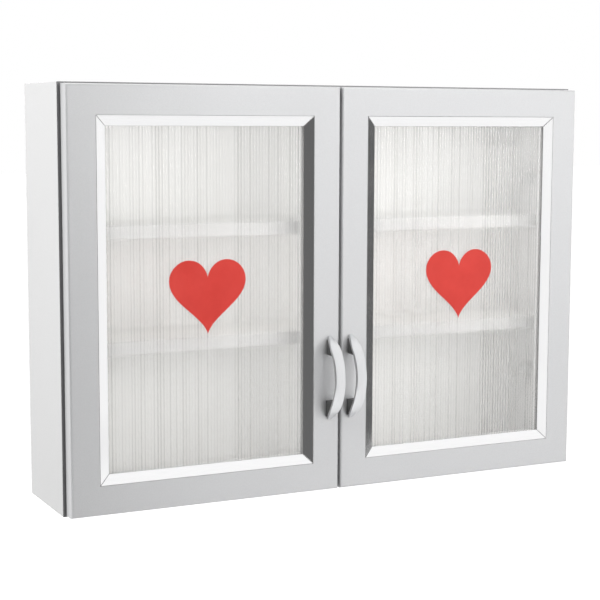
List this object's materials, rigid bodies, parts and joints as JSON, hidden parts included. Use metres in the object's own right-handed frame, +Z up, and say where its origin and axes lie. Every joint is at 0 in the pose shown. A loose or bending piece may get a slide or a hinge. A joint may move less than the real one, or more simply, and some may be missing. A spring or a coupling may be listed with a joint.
{
  "type": "first aid wall cabinet",
  "caption": "Shallow wall cabinet for first aid supplies: ribbed glass doors on concealed hinges, bright glazing trim, bow handles, shelves on pins and a red heart on the glass.",
  "frame": {"origin": "centre of the back panel's rear face, on the wall plane", "axes": "+Z up, +Y into the wall, the doors face -Y, +X to the right of someone facing the doors"},
  "size_m": [0.7, 0.1803, 0.5],
  "materials": {
    "silver_film": "fibreboard wrapped in satin silver-grey film",
    "carcass_film": "particle board with matt light grey melamine",
    "edge_band": "matt dark grey edge banding",
    "white_board": "board with white melamine",
    "zinc_steel": "zinc plated",
    "chrome_trim": "bright chrome look",
    "ribbed_glass": "clear glass, ribbed on its back",
    "grey_rubber": "soft glazing strip",
    "satin_handle": "satin silver",
    "red_vinyl": "red adhesive film"
  },
  "bodies": {
    "carcass": {"side_panel_left": "carcass_film", "side_panel_right": "carcass_film", "top_panel": "carcass_film", "bottom_panel": "carcass_film", "back_panel": "white_board", "upper_shelf": "white_board", "lower_shelf": "white_board", "edge_band_left": "edge_band", "edge_band_right": "edge_band", "edge_band_top": "edge_band", "edge_band_bottom": "edge_band", "wall_hanger_left": "zinc_steel", "shelf_pin_upper_front_left": "zinc_steel", "shelf_pin_upper_back_left": "zinc_steel", "shelf_pin_lower_front_left": "zinc_steel", "shelf_pin_lower_back_left": "zinc_steel", "hinge_plate_left_upper": "zinc_steel", "hinge_arm_left_upper": "zinc_steel", "hinge_plate_left_lower": "zinc_steel", "hinge_arm_left_lower": "zinc_steel", "wall_hanger_right": "zinc_steel", "shelf_pin_upper_front_right": "zinc_steel", "shelf_pin_upper_back_right": "zinc_steel", "shelf_pin_lower_front_right": "zinc_steel", "shelf_pin_lower_back_right": "zinc_steel", "hinge_plate_right_upper": "zinc_steel", "hinge_arm_right_upper": "zinc_steel", "hinge_plate_right_lower": "zinc_steel", "hinge_arm_right_lower": "zinc_steel"},
    "left_hinge_links": {"hinge_link_left_upper": "zinc_steel", "hinge_link_left_lower": "zinc_steel"},
    "left_door": {"door_frame_left": "silver_film", "glazing_trim_left_top": "chrome_trim", "glazing_trim_left_left": "chrome_trim", "glazing_trim_left_bottom": "chrome_trim", "glazing_trim_left_right": "chrome_trim", "glass_left": "ribbed_glass", "glazing_seal_left": "grey_rubber", "heart_decal_left": "red_vinyl", "handle_left": "satin_handle", "handle_screw_left_upper": "zinc_steel", "handle_screw_left_lower": "zinc_steel", "hinge_cup_left_upper": "zinc_steel", "hinge_cup_left_lower": "zinc_steel"},
    "right_hinge_links": {"hinge_link_right_upper": "zinc_steel", "hinge_link_right_lower": "zinc_steel"},
    "right_door": {"door_frame_right": "silver_film", "glazing_trim_right_top": "chrome_trim", "glazing_trim_right_left": "chrome_trim", "glazing_trim_right_bottom": "chrome_trim", "glazing_trim_right_right": "chrome_trim", "glass_right": "ribbed_glass", "glazing_seal_right": "grey_rubber", "heart_decal_right": "red_vinyl", "handle_right": "satin_handle", "handle_screw_right_upper": "zinc_steel", "handle_screw_right_lower": "zinc_steel", "hinge_cup_right_upper": "zinc_steel", "hinge_cup_right_lower": "zinc_steel"}
  },
  "joints": [
    {"name": "left_link_turn", "type": "hinge", "parent": "carcass", "child": "left_hinge_links", "pos_m": [-0.3165, -0.137, 0], "axis": [0, 0, -1], "range_deg": [-38, 0]},
    {"name": "left_door_turn", "type": "hinge", "parent": "left_hinge_links", "child": "left_door", "pos_m": [-0.3352, -0.1336, 0], "axis": [0, 0, -1], "range_deg": [0, 133]},
    {"name": "right_link_turn", "type": "hinge", "parent": "carcass", "child": "right_hinge_links", "pos_m": [0.3165, -0.137, 0], "axis": [0, 0, 1], "range_deg": [-38, 0]},
    {"name": "right_door_turn", "type": "hinge", "parent": "right_hinge_links", "child": "right_door", "pos_m": [0.3352, -0.1336, 0], "axis": [0, 0, 1], "range_deg": [0, 133]}
  ],
  "couplings": [
    {"joint": "left_link_turn", "follows": "left_door_turn", "ratio": -0.28571},
    {"joint": "right_link_turn", "follows": "right_door_turn", "ratio": -0.28571}
  ]
}
